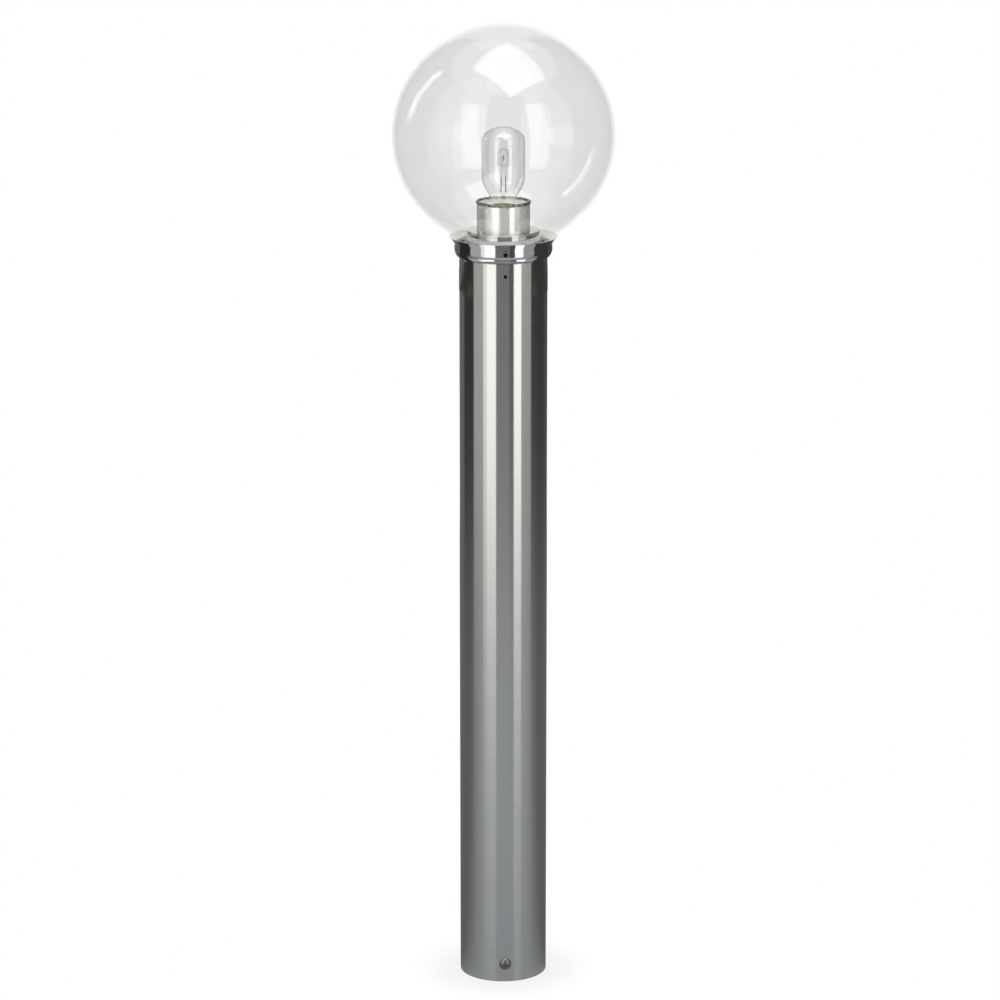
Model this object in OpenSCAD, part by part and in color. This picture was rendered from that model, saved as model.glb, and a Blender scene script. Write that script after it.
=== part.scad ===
// Bollard light: a steel tube post with a clear glass globe, an inner connection box
// and a screw-in halogen lamp. Millimetres, +Z up, origin on the ground at the post's axis.
// Three-way fasteners sit at -90, 30 and 150 degrees, so one of each faces -Y.

/* [Post] */
// Outside diameter of the post tube
post_d = 100; // [80:1:120]
// Height of the post tube above the ground
post_h = 848; // [500:1:1100]
// Wall of the post tube
post_wall = 2; // [1.5:0.5:3]

/* [Foot] */
// Thickness of the ground plate
plate_t = 6; // [4:0.5:10]
// Height of the spigot ring that the post slips over
spigot_h = 45; // [35:1:70]
// Wall of the spigot ring
spigot_wall = 6; // [5:0.5:8]
// Diameter of the supply cable entry in the ground plate
entry_d = 30; // [20:1:32]
// Diameter of each ground anchor hole
anchor_hole_d = 9; // [6:0.5:10]
// Height of the foot screws above the ground
foot_screw_z = 22; // [16:1:30]
// Thread diameter of the foot screws
foot_screw_d = 8; // [5:1:8]

/* [Connection box] */
// Width of the box
box_w = 50; // [46:1:60]
// Depth of the box without its lid
box_depth = 34; // [30:1:40]
// Height of the box
box_h = 110; // [90:1:160]
// Height of the box's underside above the ground
box_z = 90; // [80:1:200]
// Wall of the box
box_wall = 2.5; // [2:0.5:3]
// Diameter of the supply cable that the lower gland takes
supply_d = 10; // [8:0.5:11]

/* [Head] */
// How far the collar stands out past the post, all round
collar_step = 5.5; // [4:0.5:8]
// Height of the collar's straight wall top above the post
collar_wall_h = 16; // [15:0.5:20]
// Height of the collar's flared lip above its wall
lip_h = 7.4; // [5:0.1:7.5]
// How far the flared lip stands out past the collar's wall
lip_out = 5.6; // [4:0.1:6]
// Outside diameter of the globe
globe_d = 250; // [200:1:320]
// Wall of the globe
glass_t = 3; // [2:0.5:4]
// Length of the globe's straight neck
neck_len = 17.2; // [15:0.1:25]

/* [Lamp holder] */
// Outside diameter of the polished holder cup
cup_d = 60; // [58:1:74]
// Height of the holder cup
cup_h = 30.5; // [28:0.5:40]
// Height of the carrier pot above the collar floor
pot_h = 28.5; // [27:0.5:36]
// Diameter of the lamp's glass envelope
lamp_d = 49; // [40:1:60]
// Overall length of the lamp, contact to dome
lamp_len = 117; // [105:1:140]

/* [Hidden] */
$fn = 96;

// Clearances and fastener sizes
running = 0.05;
slip = 0.3;
loose = 0.5;
three_way = [-90, 30, 150];
between = [-30, 90, 210];

// Post and foot
post_r = post_d / 2;
post_in = post_r - post_wall;
spigot_r = post_in - slip;
spigot_in = spigot_r - spigot_wall;
entry_r = entry_d / 2;
anchor_r = spigot_in - 11.7;
foot_screw_r = foot_screw_d / 2;
foot_head_r = foot_screw_d * 0.875;
foot_head_h = foot_screw_d * 0.55;
stud_r = 3;
stud_h = 20;
stud_at = [anchor_r * cos(30), anchor_r * sin(30)];
washer_t = 1.6;
nut_t = 5;

// Connection box, its bracket, glands and terminals
bracket_t = 3;
bracket_w = 26;
bracket_margin = 5;
box_back = -round(sqrt(pow(post_in - bracket_margin, 2) - pow(box_w / 2, 2)));
box_front = box_back + box_depth;
box_mid = box_back + box_depth / 2;
box_top = box_z + box_h;
foot_len = -box_back - entry_r - 1;
m5_r = 2.5;
m5_head_r = m5_r * 1.7;
m4_r = 2;
post_w = 8;
lid_t = 3;
gasket_t = 1;
gland_r = 8;
gland_hex_r = 11;
gland_hex_h = 5;
gland_top = 12;
gland_nut_top = 17;
gland_in = 6;
lead_r = 3.75;
core_r = 1.1;
core_ring = 1.6;
pole_step = 11;
clamp_r = 3.1;
clamp_in = 1.8;
clamp_h = 18;
terminal_w = 3 * pole_step + 1;
terminal_depth = 14;
terminal_h = 22;
terminal_z = box_z + 40;
terminal_y = box_back + box_wall + terminal_depth / 2;

// Head: everything here is measured up from the post's top
deck_t = 6;
adapter_h = 28;
adapter_wall = 4;
head_screw_z = -14;
head_screw_r = 2;
floor_t = 2;
collar_wall = 2;
collar_r = post_r + collar_step;
collar_in = collar_r - collar_wall;
collar_round = collar_step * 2;
collar_arc_z = sqrt(pow(collar_round, 2) - pow(collar_round - collar_step, 2));
lip_t = 1.4;
seal_t = 2;
glass_z = floor_t + seal_t;
bead_r = collar_in - 3.5;
bead_round = 3;
neck_r = bead_r - 3;
neck_in = neck_r - glass_t;
neck_top = glass_z + neck_len;
globe_r = globe_d / 2;
globe_z = neck_top + sqrt(pow(globe_r, 2) - pow(neck_r, 2));
neck_round = 4;
globe_screw_z = 11.5;
globe_screw_r = 2.5;
globe_screw_gap = 0.8;
globe_screw_out = 0.8;
pot_r = neck_in - 3;
pot_wall = 1.6;
pot_flange_t = 3;
pot_flange_in = pot_r - 10;
bolt_ring = pot_r - 5.5;
collar_hole_r = pot_flange_in - 3;
grommet_r = 8;
grommet_lip = 1.5;

// Lamp holder, measured from the post's top too
cup_r = cup_d / 2;
cup_t = 1;
pot_top = floor_t + pot_h;
pot_round = min(10, pot_r - cup_r - 1);
boss_r = 19;
body_r = cup_r - cup_t - 1;
body_top = pot_top + 26.5;
boss_bottom = pot_top - 14.5;
cup_top = pot_top + cup_h;
lamp_bore_r = 14.9;
bore_floor = pot_top - 2;
holder_screw_ring = 23.6;
holder_screw_r = 2;
holder_head_r = 3.5;
shell_r = 14.6;
shell_in = 13.8;
contact_r = 4;
contact_t = 0.7;
terminal_r = 3.2;
terminal_x = 9;
holder_terminal_drop = 8;
ring_bead_r = 2.2;
ring_notches = 24;

// Lamp, measured from the post's top too
lamp_bottom = bore_floor + contact_t + 0.5 + slip;
lamp_top = lamp_bottom + lamp_len;
lamp_r = lamp_d / 2;
cap_r = 13.2;
cap_root_r = 12.5;
cap_in = 12;
cap_low = lamp_bottom + 5;
cap_top = lamp_bottom + 27;
thread_pitch = 3.62;
thread_rings = 5;
glass_wall = 0.8;
neck_glass_r = cap_in - 0.1;
shoulder_z = cap_top + 32;
dome_h = 16;
dome_z = lamp_top - dome_h;
capsule_r = 7;
capsule_low = cap_top + 34;
capsule_high = dome_z - 8;
pinch_h = 12;
wire_r = 0.5;

function smooth(t) = t * t * (3 - 2 * t);
function unit(v) = v / norm(v);

module at_head() { translate([0, 0, post_h]) children(); }

// Children point outwards, away from the post's axis
module radially(angle, z) {
  rotate([0, 0, angle]) translate([0, 0, z]) rotate([0, 90, 0]) children();
}

module ring(r, bore, h) {
  difference() {
    cylinder(r = r, h = h);
    translate([0, 0, -1]) cylinder(r = bore, h = h + 2);
  }
}

module hexagon(r, h) { cylinder(r = r, h = h, $fn = 6); }

module hex_nut(r, bore, h) {
  difference() {
    hexagon(r, h);
    translate([0, 0, -1]) cylinder(r = bore, h = h + 2);
  }
}

// A headless screw along +Z with a hexagon socket in its top
module grub_screw(r, h, socket_r) {
  difference() {
    cylinder(r = r, h = h);
    translate([0, 0, h - r]) hexagon(socket_r, r + 1);
  }
}

// A domed screw: head above z = 0, shank below
module button_screw(r, shank, head_r, head_h, socket_r) {
  rim = 1;
  ball = (pow(head_r, 2) + pow(head_h - rim, 2)) / (2 * (head_h - rim));
  difference() {
    union() {
      rotate_extrude() intersection() {
        square([head_r, head_h]);
        translate([0, head_h - ball]) circle(ball);
      }
      translate([0, 0, -shank]) cylinder(r = r, h = shank + rim / 2);
    }
    translate([0, 0, head_h * 0.45]) hexagon(socket_r, head_h);
  }
}

// A cylinder-head screw: head above z = 0, shank below
module cap_screw(r, shank, head_r, head_h) {
  difference() {
    union() {
      cylinder(r = head_r, h = head_h);
      translate([0, 0, -shank]) cylinder(r = r, h = shank + head_h / 2);
    }
    translate([0, 0, head_h / 2]) hexagon(head_r * 0.55, head_h);
  }
}

// A round cable through the points of path; side is never along the path
module cable(path, r, side, sides = 8) {
  last = len(path) - 1;
  points = [
    for (i = [0 : last])
      let (along = unit(path[min(i + 1, last)] - path[max(i - 1, 0)]),
           across = unit(cross(side, along)),
           over = cross(along, across))
      for (k = [0 : sides - 1])
        path[i] + r * (cos(360 * k / sides) * across + sin(360 * k / sides) * over)
  ];
  walls = [
    for (i = [0 : last - 1], k = [0 : sides - 1])
      let (next = (k + 1) % sides)
      [i * sides + k, (i + 1) * sides + k, (i + 1) * sides + next, i * sides + next]
  ];
  ends = [
    [for (k = [0 : sides - 1]) k],
    [for (k = [sides - 1 : -1 : 0]) last * sides + k]
  ];
  polyhedron(points, concat(walls, ends));
}

// A rising path that eases sideways from one end to the other
function eased(from, to, steps) = [
  for (i = [0 : steps])
    let (t = i / steps)
    [from[0] + (to[0] - from[0]) * smooth(t),
     from[1] + (to[1] - from[1]) * smooth(t),
     from[2] + (to[2] - from[2]) * t]
];

function bezier(a, b, c, d, steps) = [
  for (i = [0 : steps])
    let (t = i / steps, s = 1 - t)
    s * s * s * a + 3 * s * s * t * b + 3 * s * t * t * c + t * t * t * d
];

// ---- Post and foot ----

module post_tube() color("silver") difference() {
  ring(post_r, post_in, post_h);
  for (a = three_way) {
    radially(a, foot_screw_z) translate([0, 0, post_in - 2])
      cylinder(r = foot_screw_r + loose / 2, h = post_wall + 4);
    radially(a, post_h + head_screw_z) translate([0, 0, post_in - 2])
      cylinder(r = head_screw_r + running, h = post_wall + 4);
  }
}

module base_plate() color("darkgray") difference() {
  union() {
    cylinder(r = spigot_r, h = plate_t);
    ring(spigot_r, spigot_in, spigot_h);
    translate([stud_at[0], stud_at[1], 1]) cylinder(r = stud_r, h = plate_t - 1 + stud_h);
  }
  translate([0, 0, -1]) cylinder(r = entry_r, h = plate_t + 2);
  for (a = between) rotate([0, 0, a]) translate([anchor_r, 0, -1])
    cylinder(d = anchor_hole_d, h = plate_t + 2);
  for (a = three_way) radially(a, foot_screw_z) translate([0, 0, spigot_in - 2])
    cylinder(r = foot_screw_r, h = spigot_wall + 4);
  bracket_screw_places() translate([0, 0, 1]) cylinder(r = m5_r, h = plate_t);
}

module foot_screws() color("dimgray") for (a = three_way) radially(a, foot_screw_z)
  translate([0, 0, post_r])
    button_screw(foot_screw_r - running, post_r - spigot_in + 1, foot_head_r,
                 foot_head_h, foot_head_r * 0.42);

module earth_nuts() color("gold") for (z = [0, nut_t + washer_t])
  translate([stud_at[0], stud_at[1], plate_t + washer_t + z])
    hex_nut(stud_r * 1.85, stud_r + running, nut_t);

module earth_washers() color("goldenrod") for (z = [0, nut_t + washer_t])
  translate([stud_at[0], stud_at[1], plate_t + z]) ring(stud_r * 2, stud_r + running, washer_t);

// ---- Connection box ----

module bracket_screw_places() {
  for (x = [-1, 1])
    translate([x * bracket_w / 4, box_back + max(foot_len / 2, m5_head_r + slip), 0]) children();
}

module box_screw_places() {
  for (z = [0.12, 0.88]) translate([0, box_back, box_z + box_h * z])
    rotate([-90, 0, 0]) children();
}

module box_bracket() color("lightsteelblue") difference() {
  union() {
    translate([-bracket_w / 2, box_back - bracket_t, plate_t])
      cube([bracket_w, bracket_t, box_top - plate_t]);
    translate([-bracket_w / 2, box_back - bracket_t, plate_t])
      cube([bracket_w, bracket_t + foot_len, bracket_t]);
  }
  bracket_screw_places() translate([0, 0, plate_t - 1])
    cylinder(r = m5_r + slip, h = bracket_t + 2);
  box_screw_places() translate([0, 0, -bracket_t - 1]) cylinder(r = m4_r, h = bracket_t + 2);
}

module bracket_screws() color("dimgray") bracket_screw_places()
  translate([0, 0, plate_t + bracket_t])
    cap_screw(m5_r - running, bracket_t + plate_t - 2, m5_head_r, 3.5);

module box_corner_posts() {
  for (x = [-1, 1], z = [0, 1])
    translate([x * (box_w - post_w) / 2, box_back, box_z + post_w / 2 + z * (box_h - post_w)])
      rotate([-90, 0, 0]) children();
}

module box_shell() color("gray") difference() {
  union() {
    difference() {
      translate([-box_w / 2, box_back, box_z]) cube([box_w, box_depth, box_h]);
      translate([-box_w / 2 + box_wall, box_back + box_wall, box_z + box_wall])
        cube([box_w - 2 * box_wall, box_depth, box_h - 2 * box_wall]);
    }
    box_corner_posts() translate([-post_w / 2, -post_w / 2, 0])
      cube([post_w, post_w, box_depth]);
  }
  box_corner_posts() translate([0, 0, box_wall]) cylinder(r = m4_r, h = box_depth);
  box_screw_places() translate([0, 0, -1]) cylinder(r = m4_r + slip, h = box_wall + 2);
  gland_places() translate([0, 0, -box_wall - 1]) cylinder(r = gland_r + slip, h = box_wall + 2);
}

module box_gasket() color("black") translate([0, box_front, 0]) difference() {
  translate([-box_w / 2, 0, box_z]) cube([box_w, gasket_t, box_h]);
  translate([-box_w / 2 + box_wall, -1, box_z + box_wall])
    cube([box_w - 2 * box_wall, gasket_t + 2, box_h - 2 * box_wall]);
  translate([0, -box_front, 0]) box_corner_posts() translate([0, 0, box_depth - 1])
    cylinder(r = m4_r + slip, h = gasket_t + 2);
}

module box_lid() color("lightgray") difference() {
  translate([-box_w / 2, box_front + gasket_t, box_z]) cube([box_w, lid_t, box_h]);
  box_corner_posts() translate([0, 0, box_depth]) cylinder(r = m4_r + slip, h = 10);
}

module lid_screws() color("dimgray") box_corner_posts()
  translate([0, 0, box_depth + gasket_t + lid_t])
    cap_screw(m4_r - running, gasket_t + lid_t + 12, m4_r * 1.7, 2.4);

module box_screws() color("dimgray") box_screw_places()
  translate([0, 0, box_wall]) cap_screw(m4_r - running, box_wall + bracket_t, m4_r * 1.7, 2.4);

module pole_places() {
  for (i = [-1 : 1]) translate([i * pole_step, terminal_y, terminal_z]) children();
}

// Each pole has two screws, one above the other, entered from the lid side
module pole_screw_places() {
  for (z = [0.25, 0.75]) pole_places() translate([0, 0, terminal_h * z])
    rotate([-90, 0, 0]) children();
}

module terminal_block() color("whitesmoke") difference() {
  translate([-terminal_w / 2, terminal_y - terminal_depth / 2, terminal_z])
    cube([terminal_w, terminal_depth, terminal_h]);
  pole_places() translate([0, 0, -1]) cylinder(r = clamp_r + running, h = terminal_h + 2);
  pole_screw_places() cylinder(r = m4_r, h = terminal_depth);
}

module terminal_clamps() color("gold") difference() {
  pole_places() translate([0, 0, (terminal_h - clamp_h) / 2]) ring(clamp_r, clamp_in, clamp_h);
  pole_screw_places() cylinder(r = m4_r * 0.75, h = terminal_depth);
}

module terminal_screws() color("silver") pole_screw_places()
  translate([0, 0, core_r + running])
    grub_screw(m4_r * 0.75 - running, terminal_depth / 2 - core_r - 1, m4_r * 0.4);

// The lower gland takes the supply cable and the upper one the lamp lead
module gland_places() {
  translate([0, box_mid, box_z]) mirror([0, 0, 1]) children();
  translate([0, box_mid, box_top]) children();
}

module gland_body() difference() {
  union() {
    translate([0, 0, -box_wall - gland_in]) cylinder(r = gland_r, h = box_wall + gland_in + 1);
    hexagon(gland_hex_r, gland_hex_h);
    cylinder(r = gland_r - 0.5, h = gland_top);
  }
  translate([0, 0, -box_wall - gland_in - 1]) cylinder(r = gland_r - 1.5, h = 60);
}

module gland_bodies() color("dimgray") gland_places() gland_body();

module gland_nuts() color("black") gland_places() difference() {
  translate([0, 0, gland_hex_h + slip]) hexagon(gland_hex_r, gland_nut_top - gland_hex_h - slip);
  cylinder(r = gland_r - 0.5 + running, h = gland_top + slip);
  cylinder(r = gland_r - 2, h = gland_nut_top + 1);
}

module gland_seal(bore) translate([0, 0, gland_hex_h]) ring(gland_r - 1.6, bore, gland_top - gland_hex_h);

module gland_seals() color("orangered") {
  translate([0, box_mid, box_z]) mirror([0, 0, 1]) gland_seal(supply_d / 2);
  translate([0, box_mid, box_top]) gland_seal(lead_r + running);
}

module gland_locknuts() color("dimgray") gland_places()
  translate([0, 0, -box_wall - 4]) hex_nut(gland_hex_r, gland_r + running, 4);

// ---- Lamp lead, from the box up to the holder ----

lead_low = box_top - box_wall - gland_in - 3;
lead_high = post_h + 1;
lead_bow = 8;
lead_rings = 40;
lead_straight = gland_nut_top + 12;
lead_rise_low = box_top + lead_straight;
lead_rise_high = post_h - deck_t - 20;

// Straight through the gland and the grommet, with a slack bow between them
lead_path = concat(
  [[0, box_mid, lead_low]],
  [for (i = [0 : lead_rings])
    let (t = i / lead_rings)
    [lead_bow * pow(sin(180 * t), 2), box_mid * (1 - smooth(t)),
     lead_rise_low + (lead_rise_high - lead_rise_low) * t]],
  [[0, 0, lead_high]]
);

function core_start(i) = [core_ring * cos(90 + 120 * i), core_ring * sin(90 + 120 * i)];

// Eases across above the clamp and drops straight into it
module lower_core(i, pole) {
  at = core_start(i);
  mouth = [pole * pole_step, terminal_y, terminal_z + (terminal_h + clamp_h) / 2 + 2];
  path = eased([at[0], box_mid + at[1], lead_low - slip], mouth, 10);
  cable(concat(path, [mouth - [0, 0, 9]]), core_r, [1, 0, 0]);
}

module lamp_lead() color("dimgray") cable(lead_path, lead_r, [1, 0, 0], 12);

// Eases across below the terminal and rises straight into it
module upper_core(i, x) {
  at = core_start(i);
  mouth = [x, 0, post_h + boss_bottom - holder_terminal_drop - 1];
  start = [at[0], at[1], lead_high + slip];
  path = eased(start + [0, 0, 1.2], mouth, 8);
  cable(concat([start], path, [mouth + [0, 0, 5]]), core_r, [1, 0, 0]);
}

module live_core() color("saddlebrown") {
  lower_core(1, -1);
  upper_core(1, -terminal_x);
}

module neutral_core() color("royalblue") {
  lower_core(2, 1);
  upper_core(2, terminal_x);
}

module earth_core() color("yellowgreen") {
  at = core_start(0);
  out = [cos(30), sin(30), 0];
  start = [at[0], at[1], lead_high + slip];
  end = (bolt_ring - 4) * out + [0, 0, post_h + glass_z + pot_flange_t];
  lower_core(0, 0);
  cable(bezier(start, start + [0, 0, 9], (bolt_ring - 14) * out + [0, 0, post_h + 11], end, 12),
        core_r, [-out[1], out[0], 0]);
}

// ---- Head ----

module bolt_places() {
  for (a = between) rotate([0, 0, a]) translate([bolt_ring, 0, 0]) children();
}

module head_adapter() color("silver") at_head() difference() {
  union() {
    translate([0, 0, -deck_t]) cylinder(r = spigot_r, h = deck_t);
    translate([0, 0, -adapter_h]) ring(spigot_r, spigot_r - adapter_wall, adapter_h);
  }
  translate([0, 0, -deck_t - 1]) cylinder(r = grommet_r, h = deck_t + 2);
  bolt_places() translate([0, 0, -deck_t - 1]) cylinder(r = m5_r + slip, h = deck_t + 2);
  for (a = three_way) radially(a, head_screw_z) translate([0, 0, spigot_r - adapter_wall - 2])
    cylinder(r = head_screw_r + running, h = adapter_wall + 4);
}

module head_screws() color("dimgray") at_head() for (a = three_way) radially(a, head_screw_z)
  translate([0, 0, spigot_r - adapter_wall - 1])
    grub_screw(head_screw_r, post_r - slip - spigot_r + adapter_wall + 1, head_screw_r * 0.6);

module deck_grommet() color("black") at_head() difference() {
  union() {
    translate([0, 0, -deck_t - grommet_lip]) cylinder(r = grommet_r + 2, h = grommet_lip);
    translate([0, 0, -deck_t - 0.5]) cylinder(r = grommet_r - running, h = deck_t + 0.5);
  }
  translate([0, 0, -deck_t - 4]) cylinder(r = lead_r + running, h = deck_t + 8);
}

// The collar's blank: floor, rounded corner, straight wall and flared lip, each turned
module collar_blank() {
  ring(post_r, collar_hole_r, floor_t);
  rotate_extrude() intersection() {
    difference() {
      translate([collar_r - collar_round, collar_arc_z]) circle(collar_round);
      translate([collar_r - collar_round, collar_arc_z]) circle(collar_round - collar_wall);
    }
    translate([collar_r - collar_round, 0]) square([collar_round, collar_arc_z]);
  }
  translate([0, 0, collar_arc_z]) ring(collar_r, collar_in, collar_wall_h - collar_arc_z);
  rotate_extrude() polygon([
    [collar_in, collar_wall_h - lip_t],
    [collar_r, collar_wall_h],
    [collar_r + lip_out, collar_wall_h + lip_h],
    [collar_r + lip_out - lip_t, collar_wall_h + lip_h],
    [collar_in, collar_wall_h + lip_t / 2]
  ]);
}

module collar() color("silver") at_head() difference() {
  collar_blank();
  bolt_places() translate([0, 0, -1]) cylinder(r = m5_r + slip, h = floor_t + 2);
  for (a = three_way) radially(a, globe_screw_z) translate([0, 0, collar_in - 4])
    cylinder(r = globe_screw_r + running, h = collar_wall + 8);
}

module collar_bolts() color("dimgray") at_head() bolt_places()
  translate([0, 0, -deck_t]) mirror([0, 0, 1])
    cap_screw(m5_r - running, deck_t + floor_t + pot_flange_t, m5_r * 1.7, 5);

module globe_seal() color("gray") at_head() translate([0, 0, floor_t])
  ring(bead_r - 1, neck_in, seal_t);

module globe_outline() difference() {
  union() {
    intersection() {
      translate([0, globe_z]) circle(globe_r);
      translate([0, neck_top - neck_round]) square([globe_r, 2 * globe_r]);
    }
    translate([0, glass_z]) square([neck_r, neck_len]);
    translate([bead_r - bead_round, glass_z + bead_round]) circle(bead_round);
  }
  intersection() {
    translate([0, globe_z]) circle(globe_r - glass_t);
    translate([0, glass_z]) square([globe_r, 3 * globe_r]);
  }
  translate([0, glass_z - 1]) square([neck_in, neck_len + globe_r / 2]);
}

module globe() color("lightcyan", 0.35) at_head() rotate_extrude() intersection() {
  globe_outline();
  square([globe_r, 3 * globe_r]);
}

module globe_screw(angle) color("dimgray") at_head() radially(angle, globe_screw_z)
  translate([0, 0, bead_r + globe_screw_gap])
    grub_screw(globe_screw_r, collar_r + globe_screw_out - bead_r - globe_screw_gap,
               globe_screw_r * 0.55);

module globe_screw_1() globe_screw(three_way[0]);
module globe_screw_2() globe_screw(three_way[1]);
module globe_screw_3() globe_screw(three_way[2]);

// ---- Lamp holder ----

module pot_solid(r, top, round) {
  rotate_extrude() {
    square([r, top - round]);
    square([r - round, top]);
    intersection() {
      translate([r - round, top - round]) circle(round);
      square([r, top]);
    }
  }
}

module holder_screw_places() {
  for (a = [90, -90]) rotate([0, 0, a]) translate([holder_screw_ring, 0, 0]) children();
}

module carrier_pot() color("gainsboro") at_head() difference() {
  translate([0, 0, floor_t]) pot_solid(pot_r, pot_h, pot_round);
  difference() {
    pot_solid(pot_r - pot_wall, pot_top - pot_wall, max(pot_round - pot_wall, 0.5));
    ring(pot_r + 1, pot_flange_in, floor_t + pot_flange_t);
  }
  cylinder(r = boss_r + loose, h = pot_top + 1);
  bolt_places() cylinder(r = m5_r, h = floor_t + pot_flange_t + 1);
  holder_screw_places() translate([0, 0, pot_top - 4]) cylinder(r = holder_screw_r + slip, h = 6);
  rotate([0, 0, 30]) translate([bolt_ring, 0, 0]) cylinder(r = m4_r, h = floor_t + pot_flange_t + 1);
}

module earth_screw() color("gold") at_head() rotate([0, 0, 30])
  translate([bolt_ring, 0, floor_t + pot_flange_t])
    cap_screw(m4_r - running, pot_flange_t - 0.5, m4_r * 1.6, 2.4);

module holder_cup() color("gainsboro") at_head() difference() {
  translate([0, 0, pot_top]) cylinder(r = cup_r, h = cup_h);
  translate([0, 0, pot_top + cup_t]) cylinder(r = cup_r - cup_t, h = cup_h);
  translate([0, 0, pot_top - 1]) cylinder(r = boss_r + loose, h = 3);
  holder_screw_places() translate([0, 0, pot_top - 1]) cylinder(r = holder_screw_r + slip, h = 4);
}

// A grooved bead that clips over the cup's edge
module rim_ring() color("dimgray") at_head() difference() {
  rotate_extrude() difference() {
    translate([cup_r - ring_bead_r / 2, cup_top + 1]) circle(ring_bead_r);
    translate([cup_r - cup_t - running, 0]) square([cup_t + 2 * running, cup_top]);
  }
  for (i = [0 : ring_notches - 1]) rotate([0, 0, (i + 0.5) * 360 / ring_notches])
    translate([cup_r + ring_bead_r / 2, 0, cup_top - 3]) cylinder(r = 1.1, h = 8, $fn = 24);
}

module holder_body() color("white") at_head() difference() {
  union() {
    translate([0, 0, pot_top + cup_t]) cylinder(r = body_r, h = body_top - pot_top - cup_t);
    translate([0, 0, boss_bottom]) cylinder(r = boss_r, h = body_top - boss_bottom - 1);
  }
  translate([0, 0, bore_floor]) cylinder(r = lamp_bore_r, h = 60);
  translate([0, 0, boss_bottom - 1]) cylinder(r = contact_r * 0.4 + running, h = 30);
  for (x = [-1, 1]) translate([x * terminal_x, 0, boss_bottom - 1])
    cylinder(r = terminal_r + running, h = 7);
  holder_screw_places() {
    cylinder(r = holder_screw_r + slip, h = body_top + 1);
    translate([0, 0, body_top - 16]) cylinder(r = holder_head_r + running, h = 20);
  }
}

module holder_shell() color("gold") at_head() {
  translate([0, 0, bore_floor + 3]) ring(shell_r, shell_in, body_top - bore_floor - 3);
  translate([0, 0, body_top]) ring(shell_r + 2.5, shell_in, 0.8);
}

module holder_contact() color("goldenrod") at_head() {
  translate([0, 0, bore_floor + 0.5]) cylinder(r = contact_r, h = contact_t);
  translate([0, 0, boss_bottom - 2]) cylinder(r = contact_r * 0.4, h = bore_floor - boss_bottom + 3);
}

module holder_terminals() color("gold") at_head() for (x = [-1, 1]) difference() {
  translate([x * terminal_x, 0, boss_bottom - holder_terminal_drop])
    cylinder(r = terminal_r, h = holder_terminal_drop + 5);
  translate([x * terminal_x, 0, boss_bottom - holder_terminal_drop - 1])
    cylinder(r = core_r + slip, h = 7);
  translate([x * terminal_x, 0, boss_bottom - 4.5]) rotate([0, x * 90, 0]) cylinder(r = 1.25, h = 8);
}

module holder_set_screws() color("silver") at_head() for (x = [-1, 1])
  translate([x * (terminal_x + core_r + running), 0, boss_bottom - 4.5]) rotate([0, x * 90, 0])
    grub_screw(1.25 - running, 3.5, 0.6);

module holder_screws() color("silver") at_head() holder_screw_places()
  translate([0, 0, body_top - 16])
    cap_screw(holder_screw_r - running, body_top - 16 - pot_top + pot_wall + 5, holder_head_r, 3);

module holder_nuts() color("silver") at_head() holder_screw_places()
  translate([0, 0, pot_top - pot_wall - 3.2]) hex_nut(4, holder_screw_r + running, 3.2);

// ---- Lamp ----

function envelope_r(t) = neck_glass_r + (lamp_r - neck_glass_r) * smooth(t);

// Outline points of the envelope, inset by the given amount
function envelope_points(inset) = concat(
  [[0, cap_top - 6 + inset], [neck_glass_r - inset, cap_top - 6 + inset]],
  [for (i = [0 : 10]) [envelope_r(i / 10) - inset, cap_top + (shoulder_z - cap_top) * i / 10]],
  [for (a = [0 : 9 : 81]) [(lamp_r - inset) * cos(a), dome_z + (dome_h - inset) * sin(a)]],
  [[0, lamp_top - inset]]
);

module lamp_envelope() color("azure", 0.35) at_head() rotate_extrude() difference() {
  polygon(envelope_points(0));
  polygon(envelope_points(glass_wall));
}

// Rolled screw shell: rings at the thread's pitch
module lamp_cap() color("gainsboro") at_head() rotate_extrude() difference() {
  union() {
    translate([0, cap_low]) square([cap_root_r, cap_top - cap_low]);
    for (i = [0 : thread_rings - 1])
      translate([cap_root_r - 0.5, cap_low + 2 + i * thread_pitch]) circle(1.2, $fn = 24);
  }
  translate([0, cap_low - 1]) square([cap_in, cap_top - cap_low + 2]);
}

module lamp_insulator() color("black") at_head() rotate_extrude() difference() {
  polygon([
    [0, lamp_bottom + 1], [contact_r + 1.5, lamp_bottom + 1],
    [cap_in - running, cap_low], [cap_in - running, cap_low + 1.5], [0, cap_low + 1.5]
  ]);
  square([2, lamp_top]);
}

module lamp_contact() color("silver") at_head() rotate_extrude() {
  translate([0, lamp_bottom]) square([contact_r, 1]);
  translate([0, lamp_bottom]) square([2 - running, 6]);
}

module lamp_capsule() color("azure", 0.5) at_head() {
  translate([0, 0, capsule_low + pinch_h]) rotate_extrude() difference() {
    union() {
      square([capsule_r, capsule_high - capsule_low - pinch_h - capsule_r]);
      intersection() {
        translate([0, capsule_high - capsule_low - pinch_h - capsule_r]) circle(capsule_r);
        square([capsule_r, 200]);
      }
    }
    union() {
      translate([0, 1]) square([capsule_r - 1, capsule_high - capsule_low - pinch_h - capsule_r - 1]);
      intersection() {
        translate([0, capsule_high - capsule_low - pinch_h - capsule_r]) circle(capsule_r - 1);
        square([capsule_r, 200]);
      }
    }
  }
  translate([-capsule_r + 1, -1.5, capsule_low])
    cube([2 * capsule_r - 2, 3, pinch_h]);
}

filament_low = capsule_low + pinch_h + 6;
filament_high = capsule_high - capsule_r - 2;
filament_r = 1;

module lamp_filament() color("dimgray") at_head() {
  translate([0, 0, filament_low]) cylinder(r = filament_r, h = filament_high - filament_low);
  translate([0, 0, capsule_low + pinch_h + 1])
    cylinder(r = wire_r, h = filament_low - capsule_low - pinch_h - 1);
}

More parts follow.
